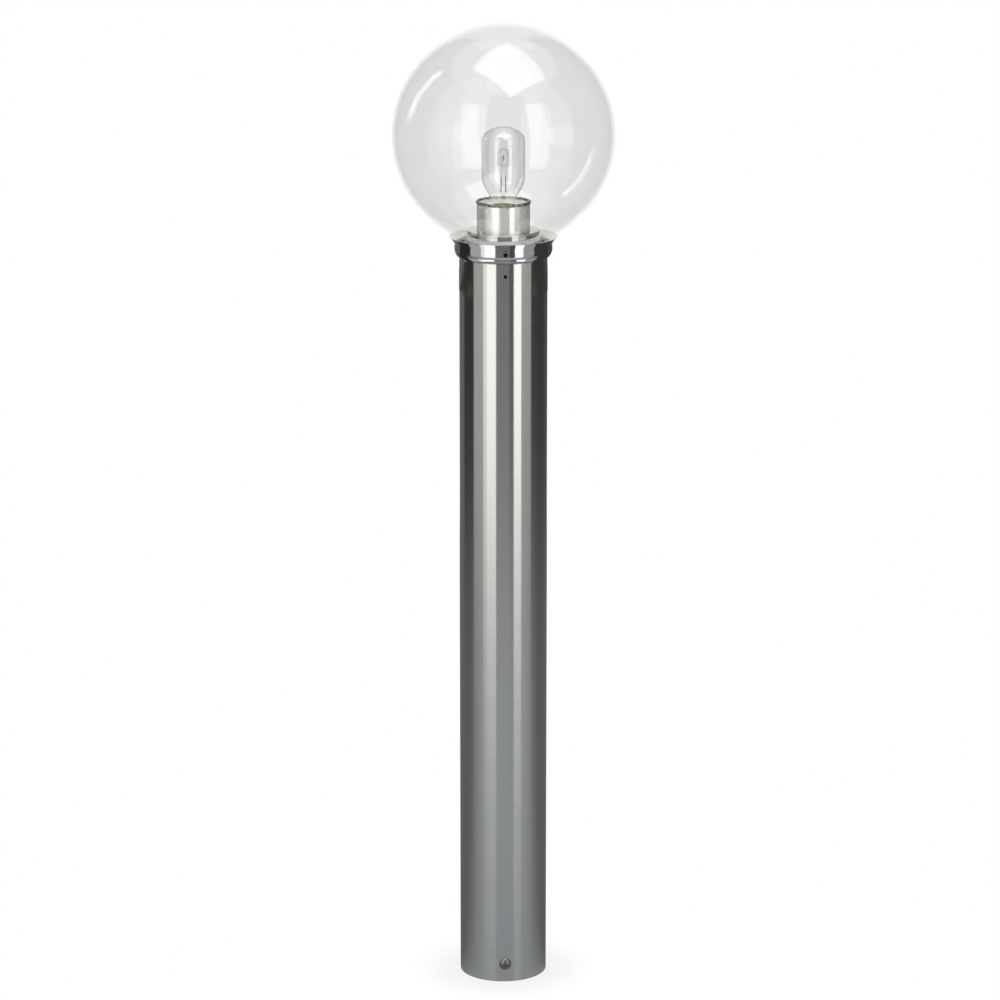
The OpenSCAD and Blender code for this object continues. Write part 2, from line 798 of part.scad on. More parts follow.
stem_low = cap_top - 6 + glass_wall;
stem_high = capsule_low - 12;
stem_r = 4;
support_x = 2.5;

// Glass stem that carries the two lead wires
module lamp_stem() color("azure", 0.5) at_head() difference() {
  translate([0, 0, stem_low]) cylinder(r = stem_r, h = stem_high - stem_low);
  for (x = [-1, 1]) translate([x * support_x, 0, stem_high - 6])
    cylinder(r = wire_r + running, h = 10);
}

module lamp_supports() color("silver") at_head() for (x = [-1, 1])
  translate([x * support_x, 0, stem_high - 6])
    cylinder(r = wire_r, h = capsule_low - stem_high + 6);

post_tube();
base_plate();
foot_screws();
earth_nuts();
earth_washers();
box_bracket();
bracket_screws();
box_shell();
box_gasket();
box_lid();
lid_screws();
box_screws();
terminal_block();
terminal_clamps();
terminal_screws();
gland_bodies();
gland_nuts();
gland_seals();
gland_locknuts();
lamp_lead();
live_core();
neutral_core();
earth_core();
head_adapter();
head_screws();
deck_grommet();
collar();
collar_bolts();
globe_seal();
globe();
globe_screw_1();
globe_screw_2();
globe_screw_3();
carrier_pot();
earth_screw();
holder_cup();
rim_ring();
holder_body();
holder_shell();
holder_contact();
holder_terminals();
holder_set_screws();
holder_screws();
holder_nuts();
lamp_cap();
lamp_insulator();
lamp_contact();
lamp_envelope();
lamp_capsule();
lamp_filament();
lamp_stem();
lamp_supports();
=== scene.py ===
# %% [markdown]
# # A bollard light: ground steel post, clear glass globe, screw-in lamp
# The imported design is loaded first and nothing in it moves. Turned parts that show are rebuilt here
# as finely divided meshes of the same size, because a mirror finish shows every facet.

# %% Load the frame
import math

import bmesh
import bpy
from mathutils import Matrix, Vector


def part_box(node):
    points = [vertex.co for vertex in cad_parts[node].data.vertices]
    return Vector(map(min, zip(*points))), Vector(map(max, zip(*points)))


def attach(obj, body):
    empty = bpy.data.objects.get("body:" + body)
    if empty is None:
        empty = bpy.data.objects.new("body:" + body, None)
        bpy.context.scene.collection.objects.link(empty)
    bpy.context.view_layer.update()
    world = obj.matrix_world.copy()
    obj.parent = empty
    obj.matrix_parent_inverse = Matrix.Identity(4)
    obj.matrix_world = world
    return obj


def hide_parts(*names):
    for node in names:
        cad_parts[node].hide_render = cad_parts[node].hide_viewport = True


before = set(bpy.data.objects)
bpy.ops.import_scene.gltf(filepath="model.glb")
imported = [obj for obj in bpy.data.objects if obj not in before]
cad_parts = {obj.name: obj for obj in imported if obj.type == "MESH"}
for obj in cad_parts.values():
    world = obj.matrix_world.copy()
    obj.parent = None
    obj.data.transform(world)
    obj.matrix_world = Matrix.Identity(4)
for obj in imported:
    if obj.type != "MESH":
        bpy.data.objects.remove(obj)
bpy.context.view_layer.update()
print("nodes in the frame:", len(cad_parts))

# %% [markdown]
# Sizes and places come from the frame. A turned piece's radius is half of its box, and its height
# is where its box starts and ends. What a box doesn't tell, such as the thickness of a sheet, is
# named in millimetres where it is first used. The rings of three screws sit at -90, 30 and 150
# degrees.

# %% Measure the frame
MM = 0.001
THREE_WAY = [math.radians(a) for a in (-90, 30, 150)]


def span(name):
    """Radius and lowest and highest point of a turned node."""
    low, high = (Vector(corner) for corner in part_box(name))
    return (high.x - low.x) / 2, low.z, high.z


post_r, ground, post_top = span("post_tube")
globe_r, _, globe_high = span("globe")
globe_z = globe_high - globe_r
pot_r, pot_low, pot_top = span("carrier_pot")
cup_r, _, cup_top = span("holder_cup")
cap_r, cap_low, cap_top = span("lamp_cap")
_, capsule_low, _ = span("lamp_capsule")
print("post", round(post_top, 4), "globe centre", round(globe_z, 4), "cup top", round(cup_top, 4))

# %% [markdown]
# Colours are written as sRGB hex, as a paint chart gives them, and one function turns them into the
# linear values that light is added up in. One more function adds a shader node with its settings
# and links.

# %% Colour and node helpers


def linear(hex_colour):
    """sRGB hex, such as '#8a8c90', to linear RGBA."""
    channels = [int(hex_colour[i : i + 2], 16) / 255 for i in (1, 3, 5)]
    return (*[c / 12.92 if c <= 0.04045 else ((c + 0.055) / 1.055) ** 2.4 for c in channels], 1.0)


def add(tree, kind, inputs=None, **settings):
    """Adds a node. An input's value is a plain value, or a socket to link from."""
    new = tree.nodes.new(kind)
    for name, value in settings.items():
        setattr(new, name, value)
    for name, value in (inputs or {}).items():
        if isinstance(value, bpy.types.NodeSocket):
            tree.links.new(value, new.inputs[name])
        else:
            new.inputs[name].default_value = value
    return new


def new_material(name, **principled):
    """A material with one Principled shader, its values set by name."""
    made = bpy.data.materials.new(name)
    made.use_nodes = True
    tree = made.node_tree
    shader = tree.nodes["Principled BSDF"]
    for key, value in principled.items():
        shader.inputs[key.replace("_", " ").title().replace("Ior", "IOR")].default_value = value
    return made, tree, shader


print("helpers: linear, add, new_material")

# %% [markdown]
# ## Camera
# The light stands about 4.3 m from a long lens that looks down on it by 14 degrees, as a catalogue
# picture is taken. A long lens keeps the post's sides nearly parallel. It stands 2.6 degrees to the
# left of the front screws, so they are seen almost square on.

# %% Camera
VIEW_TURN = math.radians(-2.6)
CAMERA_AWAY, CAMERA_UP = 4.3177, 1.6526
LOOK_DOWN, LOOK_ASIDE = 14.13, 0.05
camera_data = bpy.data.cameras.new("catalogue_camera")
camera_data.lens = 140.41
camera_data.sensor_width = 36.0
camera_data.clip_end = 60.0
camera = bpy.data.objects.new("catalogue_camera", camera_data)
bpy.context.collection.objects.link(camera)
camera.location = (
    math.sin(VIEW_TURN) * CAMERA_AWAY,
    -math.cos(VIEW_TURN) * CAMERA_AWAY,
    CAMERA_UP,
)
camera.rotation_euler = (
    math.radians(90 - LOOK_DOWN),
    0.0,
    VIEW_TURN + math.radians(LOOK_ASIDE),
)
bpy.context.scene.camera = camera
bpy.context.scene.view_settings.view_transform = "Standard"
# globe, lamp and capsule are six walls of glass one behind the other: light has to get through all
bpy.context.scene.cycles.transparent_max_bounces = 32
print("camera at", [round(v, 3) for v in camera.location])

# %% [markdown]
# ## Studio
# Ground steel and clear glass have hardly any look of their own: they show the room. So the room is
# laid out as a studio for shiny goods: two tall soft boxes stand on the floor in front, a wide one
# hangs overhead, and dark boards between and beyond them draw the black lines down the post.
# Each is a card that only reflections see, so none of them gets in front of another view.

# %% Stage helpers


def show_to(thing, **rays):
    """Which kinds of ray see a stage piece; every kind that isn't named is off."""
    for kind in ("camera", "diffuse", "glossy", "transmission", "volume_scatter", "shadow"):
        setattr(thing, f"visible_{kind}", rays.get(kind, False))


def mesh_object(name, points, faces):
    """An object from a list of points and faces."""
    mesh = bpy.data.meshes.new(name)
    mesh.from_pydata(points, [], faces)
    made = bpy.data.objects.new(name, mesh)
    bpy.context.collection.objects.link(made)
    return made


def glow(name, strength):
    """Light given off evenly by a stage card."""
    made = bpy.data.materials.new(name)
    made.use_nodes = True
    tree = made.node_tree
    tree.nodes.clear()
    light = add(tree, "ShaderNodeEmission", {"Color": linear("#fffff8"), "Strength": strength})
    add(tree, "ShaderNodeOutputMaterial", {"Surface": light.outputs["Emission"]})
    return made


def card_from(name, points, faces, strength):
    """A glowing card that only reflections see."""
    card = mesh_object(name, points, faces)
    card.data.materials.append(glow(name, strength))
    show_to(card, glossy=True)
    return card


CARD_STEP = 3


def bent_card(name, start, stop, edges, strength):
    """A card bent round the post from start to stop, in degrees to the camera's right.

    edges has the (distance from the axis, height) of its two long edges.
    """
    steps = max(2, round((stop - start) / CARD_STEP))
    points = []
    for i in range(steps + 1):
        turn = math.radians(start + (stop - start) * i / steps) + VIEW_TURN
        for away, up in edges:
            points.append((math.sin(turn) * away, -math.cos(turn) * away, up))
    faces = [(2 * i, 2 * i + 2, 2 * i + 3, 2 * i + 1) for i in range(steps)]
    return card_from(name, points, faces, strength)


print("a card is bent in steps of", CARD_STEP, "degrees")

# %% [markdown]
# The standing cards make a closed round room. What counts is where each starts and stops, seen from
# the post: the two soft boxes become the two pale bands down the steel, the gap between them the
# grey band in the middle, and the boards the dark edges. Two thin strip lamps just inside the left
# board draw the two fine lines near the post's left edge.

# %% Standing cards
CARD_AWAY = 2.1
STRIPS_AWAY = CARD_AWAY - 0.1
ROOM = [
    # name, from and to in degrees, foot and head in metres, brightness
    ("left_backdrop", -180.0, -161.0, 0.0, 3.4, 1.0),
    ("left_back", -161.0, -122.0, 0.0, 3.4, 0.16),
    ("left_board", -122.0, -82.5, 0.0, 3.4, 0.03),
    ("left_wall", -82.5, -53.0, 0.0, 3.4, 0.52),
    ("left_soft_box_edge", -53.0, -43.0, 0.0, 2.6, 1.2),
    ("left_soft_box", -43.0, -18.6, 0.0, 2.6, 1.65),
    ("camera_gap", -18.6, 15.0, 0.0, 3.4, 0.21),
    ("gap_edge", 15.0, 27.0, 0.0, 3.4, 0.09),
    ("right_soft_box", 27.0, 47.0, 0.0, 2.6, 1.7),
    ("right_wall", 47.0, 76.0, 0.0, 0.79, 0.42),
    ("right_board", 76.0, 128.0, 0.0, 3.4, 0.05),
    ("right_back", 128.0, 163.0, 0.0, 3.4, 0.085),
    ("right_backdrop", 163.0, 180.0, 0.0, 3.4, 1.0),
    ("right_soft_box_head", 47.0, 52.5, 0.95, 2.6, 1.7),
    ("right_patch", 52.5, 76.0, 0.8, 1.43, 1.0),
    ("right_wall_head", 47.0, 76.0, 1.45, 3.4, 0.42),
]
STRIP_LAMPS = [
    ("outer_strip", -117.5, -116.1, 1.1, 2.7, 9.0),
    ("inner_strip", -114.3, -112.9, 1.25, 2.75, 9.0),
]
for name, start, stop, low, high, strength in STRIP_LAMPS:
    bent_card(name, start, stop, ((STRIPS_AWAY, low), (STRIPS_AWAY, high)), strength)
for name, start, stop, low, high, strength in ROOM:
    bent_card(name, start, stop, ((CARD_AWAY, low), (CARD_AWAY, high)), strength)
print("cards standing round the light:", len(ROOM) + len(STRIP_LAMPS))

# %% [markdown]
# The collar's lip and its rounded foot look down, where the floor would give them one flat grey. A
# small ring of cards under the collar repeats the room's stripes for them. It answers only rays
# that have come a good way, so that the post's top, which passes through the ring, doesn't show it.

# %% Ring of cards under the collar
APRON_IN, APRON_OUT, APRON_DOWN, APRON_REACH = 0.056, 0.1, 0.048, 0.056
# degrees off the camera's side beyond which a card counts as one at the side or behind
APRON_SIDES = 80


def only_from_afar(card, reach):
    """Makes a card vanish for rays shorter than reach."""
    tree = card.data.materials[0].node_tree
    rays = add(tree, "ShaderNodeLightPath")
    far = add(
        tree,
        "ShaderNodeMath",
        {0: rays.outputs["Ray Length"], 1: reach},
        operation="GREATER_THAN",
    )
    gone = add(tree, "ShaderNodeBsdfTransparent")
    lit = tree.nodes["Emission"]
    shown = add(
        tree,
        "ShaderNodeMixShader",
        {0: far.outputs["Value"], 1: gone.outputs["BSDF"], 2: lit.outputs["Emission"]},
    )
    tree.links.new(shown.outputs["Shader"], tree.nodes["Material Output"].inputs["Surface"])


apron_up = post_top - APRON_DOWN
for name, start, stop, low, high, strength in ROOM:
    if low == 0.0:
        # flatter rays see the cards at the sides and behind, so those reach twice as far out
        beside = abs(start + stop) / 2 > APRON_SIDES
        outer = APRON_OUT * (2 if beside else 1)
        apron_edges = ((APRON_IN, apron_up), (outer, apron_up))
        apron = bent_card(name + "_apron", start, stop, apron_edges, strength)
        only_from_afar(apron, APRON_REACH)
print("ring of cards at", round(apron_up, 4))

# %% [markdown]
# The soft box overhead is what the top of the globe shows: one bright patch with four sides, bent
# by the curve of the glass.

# %% Overhead soft box
OVERHEAD_UP = 1.6
OVERHEAD_CORNERS = ((0.1, 0.75), (-0.75, -0.1), (0.2, -1.5), (1.15, -0.35))
card_from(
    "overhead_soft_box",
    [(x, y, globe_z + OVERHEAD_UP) for x, y in OVERHEAD_CORNERS],
    [(0, 1, 2, 3)],
    3.2,
)
print("overhead soft box at", round(globe_z + OVERHEAD_UP, 3))

# %% [markdown]
# The floor is plain and pale. It is lit until it reads as white paper, but what the steel mirrors
# of it is a middle grey, so the foot of the post keeps its tone. That grey is lighter in front,
# where the soft boxes' light lies on the paper. A faint soft shadow grounds the post.

# %% Floor
FLOOR_HALF = 9.0
SHADOW_IN, SHADOW_OUT, SHADOW_LEFT = 0.05, 0.11, 0.9
NEAR_FLOOR, FAR_FLOOR = 0.15, 0.9
floor = mesh_object(
    "studio_floor",
    [(x * FLOOR_HALF, y * FLOOR_HALF, ground) for x, y in ((-1, -1), (1, -1), (1, 1), (-1, 1))],
    [(0, 1, 2, 3)],
)
paper = bpy.data.materials.new("seamless_white_paper")
paper.use_nodes = True
tree = paper.node_tree
tree.nodes.clear()
place = add(tree, "ShaderNodeTexCoord")
from_foot = add(
    tree, "ShaderNodeVectorMath", {0: place.outputs["Object"]}, operation="LENGTH"
)
ahead = add(
    tree, "ShaderNodeVectorMath", {0: place.outputs["Object"]}, operation="NORMALIZE"
)
sides = add(tree, "ShaderNodeSeparateXYZ", {"Vector": ahead.outputs["Vector"]})
shadow = add(
    tree,
    "ShaderNodeMapRange",
    {
        "Value": from_foot.outputs["Value"],
        "From Min": SHADOW_IN,
        "From Max": SHADOW_OUT,
        "To Min": SHADOW_LEFT,
    },
    interpolation_type="SMOOTHSTEP",
)
seen = add(
    tree, "ShaderNodeEmission", {"Color": (1, 1, 1, 1), "Strength": shadow.outputs["Result"]}
)
# both greys run from the front (-Y) to the back: pools far out on the paper, shade at the foot
pools = add(
    tree,
    "ShaderNodeMapRange",
    {"Value": sides.outputs["Y"], "From Min": -0.9, "From Max": 0.35, "To Min": 0.5, "To Max": 0.17},
    interpolation_type="SMOOTHSTEP",
)
shade = add(
    tree,
    "ShaderNodeMapRange",
    {"Value": sides.outputs["Y"], "From Min": -0.9, "From Max": 0.6, "To Min": 0.4, "To Max": 0.16},
    interpolation_type="SMOOTHSTEP",
)
spread = add(
    tree,
    "ShaderNodeMapRange",
    {"Value": from_foot.outputs["Value"], "From Min": NEAR_FLOOR, "From Max": FAR_FLOOR},
)
near = add(
    tree,
    "ShaderNodeMix",
    {
        "Factor": spread.outputs["Result"],
        "A": shade.outputs["Result"],
        "B": pools.outputs["Result"],
    },
)
grey = add(
    tree, "ShaderNodeEmission", {"Color": linear("#f3f6fb"), "Strength": near.outputs["Result"]}
)
rays = add(tree, "ShaderNodeLightPath")
floor_mix = add(
    tree,
    "ShaderNodeMixShader",
    {0: rays.outputs["Is Camera Ray"], 1: grey.outputs["Emission"], 2: seen.outputs["Emission"]},
)
add(tree, "ShaderNodeOutputMaterial", {"Surface": floor_mix.outputs["Shader"]})
floor.data.materials.append(paper)
print("floor at", round(ground, 4))

# %% [markdown]
# Beyond the floor everything is white: pure white to look at, and a touch dimmer and cooler where
# it lights or is mirrored.

# %% Room light
world = bpy.data.worlds.new("white_room")
world.use_nodes = True
bpy.context.scene.world = world
tree = world.node_tree
tree.nodes.clear()
rays = add(tree, "ShaderNodeLightPath")
white = add(tree, "ShaderNodeBackground", {"Color": (1, 1, 1, 1), "Strength": 1.0})
dim = add(tree, "ShaderNodeBackground", {"Color": linear("#f2f4f6"), "Strength": 0.95})
room_mix = add(
    tree,
    "ShaderNodeMixShader",
    {
        0: rays.outputs["Is Camera Ray"],
        1: dim.outputs["Background"],
        2: white.outputs["Background"],
    },
)
add(tree, "ShaderNodeOutputWorld", {"Surface": room_mix.outputs["Shader"]})
print("world:", world.name)

# %% [markdown]
# Three soft lights shape what isn't shiny, such as the porcelain and the cup's inside. They aim at
# the middle of the post, and reflections don't see them, since the cards already stand there.

# %% Soft lights
AIM = Vector((0, 0, 0.6))
SOFT_LIGHTS = [
    # name, degrees to the camera's right, away, up, size, power
    ("left_light", -36, 2.0, 1.6, 1.2, 26.0),
    ("right_light", 38, 2.0, 1.6, 0.9, 22.0),
    ("top_light", 0, 0.2, 2.6, 1.5, 60.0),
]
for name, aside, away, up, size, power in SOFT_LIGHTS:
    data = bpy.data.lights.new(name, "AREA")
    data.size = size
    data.energy = power
    light = bpy.data.objects.new(name, data)
    bpy.context.collection.objects.link(light)
    turn = math.radians(aside) + VIEW_TURN
    light.location = (math.sin(turn) * away, -math.cos(turn) * away, up)
    light.rotation_euler = (AIM - light.location).to_track_quat("-Z", "Y").to_euler()
    light.visible_glossy = False
    light.visible_camera = False
print("soft lights:", len(SOFT_LIGHTS))

# %% [markdown]
# ## Finishes
# Most finishes are the same recipe: a fine grain in real millimetres moves the colour, the gloss
# and the relief a little, because no made surface is perfectly even. The grain can be stretched
# along one axis, as a belt or a drawing die leaves it.

# %% One recipe for a made surface


def made_surface(name, colours, gloss, grain_mm, stretch=(1, 1, 1), relief_mm=0.02, **values):
    """colours and gloss are the two ends that the grain moves between; returns the material."""
    made, tree, shader = new_material(name, **values)
    place = add(tree, "ShaderNodeTexCoord")
    size = [1 / (grain_mm * MM * s) for s in stretch]
    laid = add(tree, "ShaderNodeMapping", {"Vector": place.outputs["Object"], "Scale": size})
    grain = add(
        tree, "ShaderNodeTexNoise", {"Vector": laid.outputs["Vector"], "Scale": 1.0, "Detail": 3.0}
    )
    spread = add(
        tree, "ShaderNodeMapRange", {"Value": grain.outputs["Fac"], "From Min": 0.3, "From Max": 0.7}
    )
    tint = add(
        tree,
        "ShaderNodeMixRGB",
        {"Fac": spread.outputs["Result"], "Color1": linear(colours[0]), "Color2": linear(colours[1])},
    )
    shine = add(
        tree,
        "ShaderNodeMapRange",
        {"Value": spread.outputs["Result"], "To Min": gloss[0], "To Max": gloss[1]},
    )
    tree.links.new(tint.outputs["Color"], shader.inputs["Base Color"])
    tree.links.new(shine.outputs["Result"], shader.inputs["Roughness"])
    if relief_mm:
        relief = add(
            tree,
            "ShaderNodeBump",
            {"Height": spread.outputs["Result"], "Strength": 1.0, "Distance": relief_mm * MM},
        )
        tree.links.new(relief.outputs["Normal"], shader.inputs["Normal"])
    return made


# %% [markdown]
# The post is 304 stainless tube, ground on a belt that runs round it. The scratches lie level, so
# they smear every reflection up and down and leave its sides crisp: that is an anisotropic gloss
# whose long axis is upright. Real scratches are about 0.1 mm apart; here the grain is 1.2 mm high
# and 60 mm long so that it just shows.

# %% Ground stainless tube
ground_tube = made_surface(
    "ground_stainless_tube",
    ("#cdcecd", "#d0d1d0"),
    (0.155, 0.185),
    grain_mm=1.2,
    stretch=(50, 50, 1),
    relief_mm=0.0,
    metallic=1.0,
    anisotropic=1.0,
    anisotropic_rotation=0.25,
)
tree = ground_tube.node_tree
round_post = add(tree, "ShaderNodeTangent", direction_type="RADIAL", axis="Z")
tree.links.new(round_post.outputs["Tangent"], tree.nodes["Principled BSDF"].inputs["Tangent"])
print("post finish:", ground_tube.name)

# %% [markdown]
# The lamp's carrier is spun from stainless sheet and polished, close to a mirror with a trace of
# orange peel. The castings are rough, and plate and bracket are galvanised sheet with a soft crystal
# pattern. Screws are bright stainless, turned, so a little streaky. The bead on the cup's edge is
# black chromed; its colour grain, from near black to pale, is painted glints and painted shade.

# %% Polished, cast and plated metal
METALS = {
    "polished_steel": made_surface(
        "polished_spun_stainless", ("#cbcdcf", "#d3d4d6"), (0.07, 0.1), 14.0, (1, 1, 0.3), 0.0,
        metallic=1.0,
    ),
    "cast_aluminium": made_surface(
        "sand_cast_aluminium", ("#9a9da0", "#b4b6b8"), (0.45, 0.62), 0.8, relief_mm=0.12,
        metallic=1.0,
    ),
    "plate_steel": made_surface(
        "hot_dip_galvanised_plate", ("#9ea3a6", "#bdc1c3"), (0.35, 0.55), 7.0, relief_mm=0.02,
        metallic=1.0,
    ),
    "screw_steel": made_surface(
        "turned_stainless_screw", ("#a9abae", "#c8cacc"), (0.14, 0.26), 0.6, (1, 1, 0.4), 0.004,
        metallic=1.0,
    ),
    # black chrome; the grain from near black to pale is painted glints and painted shade in points
    "dark_bead": made_surface(
        "black_chrome_bead_painted_glints_and_shade", ("#2e2f2f", "#c9cac5"), (0.1, 0.22), 3.2, relief_mm=0.02,
        metallic=1.0,
    ),
    "brass": made_surface(
        "machined_brass", ("#b8923f", "#d6b35f"), (0.2, 0.36), 0.9, (1, 1, 0.4), 0.006,
        metallic=1.0,
    ),
    "cap_aluminium": made_surface(
        "drawn_aluminium_cap", ("#c4c6c8", "#d9dadb"), (0.22, 0.34), 1.2, (1, 1, 0.3), 0.01,
        metallic=1.0,
    ),
    "solder": made_surface(
        "tin_solder", ("#a7a9aa", "#c9cbcc"), (0.2, 0.4), 1.5, relief_mm=0.05, metallic=1.0
    ),
    "lamp_wire": made_surface(
        "drawn_tungsten_wire", ("#3d3d40", "#6c6d70"), (0.3, 0.45), 0.4, relief_mm=0.004,
        metallic=1.0,
    ),
}
print("metal finishes:", len(METALS))

# %% [markdown]
# The collar is spun from the same sheet and polished outside only. Its inside stays matt from the
# spinning, so there the finish is rougher and only half metallic. Its lighter colour there is painted
# light: seen through the thick glass of the neck, the inside mirrors the bright floor, and the paler
# colour stands in for that. Which side a point is on comes from the way its surface faces, towards
# the axis or away from it.

# %% Collar polished on its outside
# how much a normal leans outwards, times its distance from the axis in metres: inside is below this
FACES_IN = -0.02
MATT_INSIDE, HALF_METAL = 0.55, 0.5
spun_collar = made_surface(
    "spun_collar_polished_outside", ("#cbcdcf", "#d3d4d6"), (0.07, 0.1), 14.0, (1, 1, 0.3), 0.0,
    metallic=1.0,
)
tree = spun_collar.node_tree
shader = tree.nodes["Principled BSDF"]
polish = shader.inputs["Roughness"].links[0].from_socket
steel = shader.inputs["Base Color"].links[0].from_socket
place = add(tree, "ShaderNodeTexCoord")
level = add(
    tree, "ShaderNodeVectorMath", {0: place.outputs["Object"], 1: (1, 1, 0)}, operation="MULTIPLY"
)
looks_out = add(
    tree,
    "ShaderNodeVectorMath",
    {0: level.outputs["Vector"], 1: place.outputs["Normal"]},
    operation="DOT_PRODUCT",
)
inside = add(
    tree, "ShaderNodeMath", {0: looks_out.outputs["Value"], 1: FACES_IN}, operation="LESS_THAN"
)
matt = add(
    tree, "ShaderNodeMix", {"Factor": inside.outputs["Value"], "A": polish, "B": MATT_INSIDE}
)
# the inside's lighter colour is painted light, standing for the bright floor it mirrors
painted_pale_inside = add(
    tree,
    "ShaderNodeMixRGB",
    {"Fac": inside.outputs["Value"], "Color1": steel, "Color2": linear("#dddddb")},
)
metal = add(
    tree,
    "ShaderNodeMath",
    {0: inside.outputs["Value"], 1: HALF_METAL - 1.0, 2: 1.0},
    operation="MULTIPLY_ADD",
)
tree.links.new(matt.outputs["Result"], shader.inputs["Roughness"])
tree.links.new(painted_pale_inside.outputs["Color"], shader.inputs["Base Color"])
tree.links.new(metal.outputs["Value"], shader.inputs["Metallic"])
print("collar finish:", spun_collar.name)

# %% [markdown]
# Three kinds of part are neither bright nor plain. The small grub screws are steel with a black
# oxide on it. The domed screws at the foot are a darker, rougher stainless: the darker colour is
# painted shade, standing for the dark groove round each head. The holder cup has a silver lacquer,
# which is metal flake under clear resin: that is why it isn't fully metallic.

# %% Blackened, shade-darkened and lacquered metal
blackened = made_surface(
    "black_oxide_grub_screw", ("#2a2b2d", "#4a4c50"), (0.16, 0.3), 0.6, relief_mm=0.004, metallic=1.0
)
silver_lacquer = made_surface(
    "silver_lacquered_cup", ("#e6e5e1", "#f1f0ec"), (0.2, 0.25), 3.0, (1, 1, 0.2), 0.004,
    metallic=0.78,
)
# the foot screws' darker grey is painted shade for the groove round each head
shaded_foot_screw = made_surface(
    "darkened_stainless_screw_painted_shade", ("#77787b", "#8d8e91"), (0.3, 0.4), 0.8, relief_mm=0.004, metallic=1.0
)
print("more finishes:", blackened.name, silver_lacquer.name, shaded_foot_screw.name)

# %% [markdown]
# Inside there are the quiet materials: glazed porcelain round the lamp thread, black vitrite glass
# on the cap, silicone and EPDM seals, moulded plastics and the lead's PVC. Each gets the grain of
# its own making: a glaze ripples over centimetres, a mould's spark finish over half a millimetre.

# %% Ceramics, rubber and plastics
QUIET = {
    "porcelain": made_surface(
        "glazed_white_porcelain", ("#e6e2d8", "#f1eee6"), (0.08, 0.16), 9.0, relief_mm=0.06, ior=1.52
    ),
    "black_glass": made_surface(
        "black_vitrite_glass", ("#0d0e12", "#191b21"), (0.06, 0.12), 4.0, relief_mm=0.03, ior=1.52
    ),
    "silicone": made_surface(
        "pressed_silicone_seal", ("#c9ccc9", "#d8dad6"), (0.38, 0.5), 2.0, relief_mm=0.03, ior=1.41
    ),
    "black_rubber": made_surface(
        "pressed_epdm_rubber", ("#18191a", "#242526"), (0.5, 0.66), 0.8, relief_mm=0.03, ior=1.5
    ),
    "red_seal": made_surface(
        "moulded_red_silicone", ("#9c2b22", "#b33a2e"), (0.4, 0.52), 0.8, relief_mm=0.02, ior=1.41
    ),
    "box_plastic": made_surface(
        "spark_finished_grey_polycarbonate", ("#868a8c", "#94989a"), (0.42, 0.56), 0.5,
        relief_mm=0.03, ior=1.58,
    ),
    "gland_plastic": made_surface(
        "moulded_grey_nylon", ("#6f7376", "#7f8386"), (0.36, 0.5), 0.6, relief_mm=0.02, ior=1.53
    ),
    "terminal_plastic": made_surface(
        "moulded_white_melamine", ("#d9d6cb", "#e6e3d9"), (0.3, 0.42), 0.8, relief_mm=0.02, ior=1.55
    ),
    "lead_sheath": made_surface(
        "extruded_black_pvc", ("#1c1d1f", "#292a2c"), (0.42, 0.55), 0.7, (1, 1, 6), 0.02, ior=1.53
    ),
    "brown_core": made_surface(
        "extruded_brown_pvc", ("#4f2d1a", "#603a24"), (0.35, 0.48), 0.5, (1, 1, 6), 0.01, ior=1.53
    ),
    "blue_core": made_surface(
        "extruded_blue_pvc", ("#245a9c", "#2f6bb0"), (0.35, 0.48), 0.5, (1, 1, 6), 0.01, ior=1.53
    ),
    "green_core": made_surface(
        "extruded_green_and_yellow_pvc", ("#3f8f3a", "#d8c52c"), (0.35, 0.48), 2.5, (1, 1, 6), 0.01,
        ior=1.53,
    ),
}
print("quiet finishes:", len(QUIET))

# %% [markdown]
# Blown clear glass is 3 mm thick here and hardly bends what is behind it, so each of its faces is
# drawn as a clear sheet with a thin mirror on top: a Transparent shader under a Glossy one. How
# much it mirrors follows Schlick's rule from the angle alone, 4% face on and more towards the rim.
# It stops at 30% there, since sight passes two walls of two faces each. The globe's clear part gets
# a touch lighter at the rim, where the mirror already takes light away, and the lamp's darker.

# %% Blown clear glass
RIM_MIRROR = 0.3
# blown glass is fire polished: nearly, but not quite, a sharp mirror
FIRE_POLISH = 0.045


def clear_glass(name, tints, ripple_mm, ripple_deep_mm, face_on=0.04):
    """tints are (how far towards the rim, sRGB hex) pairs for what comes through one face."""
    made = bpy.data.materials.new(name)
    made.use_nodes = True
    tree = made.node_tree
    tree.nodes.clear()
    place = add(tree, "ShaderNodeTexCoord")
    ripple = add(
        tree,
        "ShaderNodeTexNoise",
        {"Vector": place.outputs["Object"], "Scale": 1 / (ripple_mm * MM), "Detail": 1.0},
    )
    skin = add(
        tree,
        "ShaderNodeBump",
        {"Height": ripple.outputs["Fac"], "Strength": 1.0, "Distance": ripple_deep_mm * MM},
    )
    lean = add(tree, "ShaderNodeLayerWeight", {"Blend": 0.5, "Normal": skin.outputs["Normal"]})
    facing = lean.outputs["Facing"]
    fifth = add(tree, "ShaderNodeMath", {0: facing, 1: 5.0}, operation="POWER")
    share = add(
        tree,
        "ShaderNodeMapRange",
        {"Value": fifth.outputs["Value"], "To Min": face_on, "To Max": RIM_MIRROR},
    )
    through = add(tree, "ShaderNodeValToRGB", {"Fac": facing})
    ramp = through.color_ramp
    while len(ramp.elements) < len(tints):
        ramp.elements.new(0.5)
    for stop, (where, shade) in zip(ramp.elements, tints):
        stop.position = where
        stop.color = linear(shade)
    clear = add(tree, "ShaderNodeBsdfTransparent", {"Color": through.outputs["Color"]})
    mirror = add(
        tree,
        "ShaderNodeBsdfAnisotropic",
        {"Color": (1, 1, 1, 1), "Roughness": FIRE_POLISH, "Normal": skin.outputs["Normal"]},
    )
    glass = add(
        tree,
        "ShaderNodeMixShader",
        {0: share.outputs["Result"], 1: clear.outputs["BSDF"], 2: mirror.outputs["BSDF"]},
    )
    add(tree, "ShaderNodeOutputMaterial", {"Surface": glass.outputs["Shader"]})
    return made


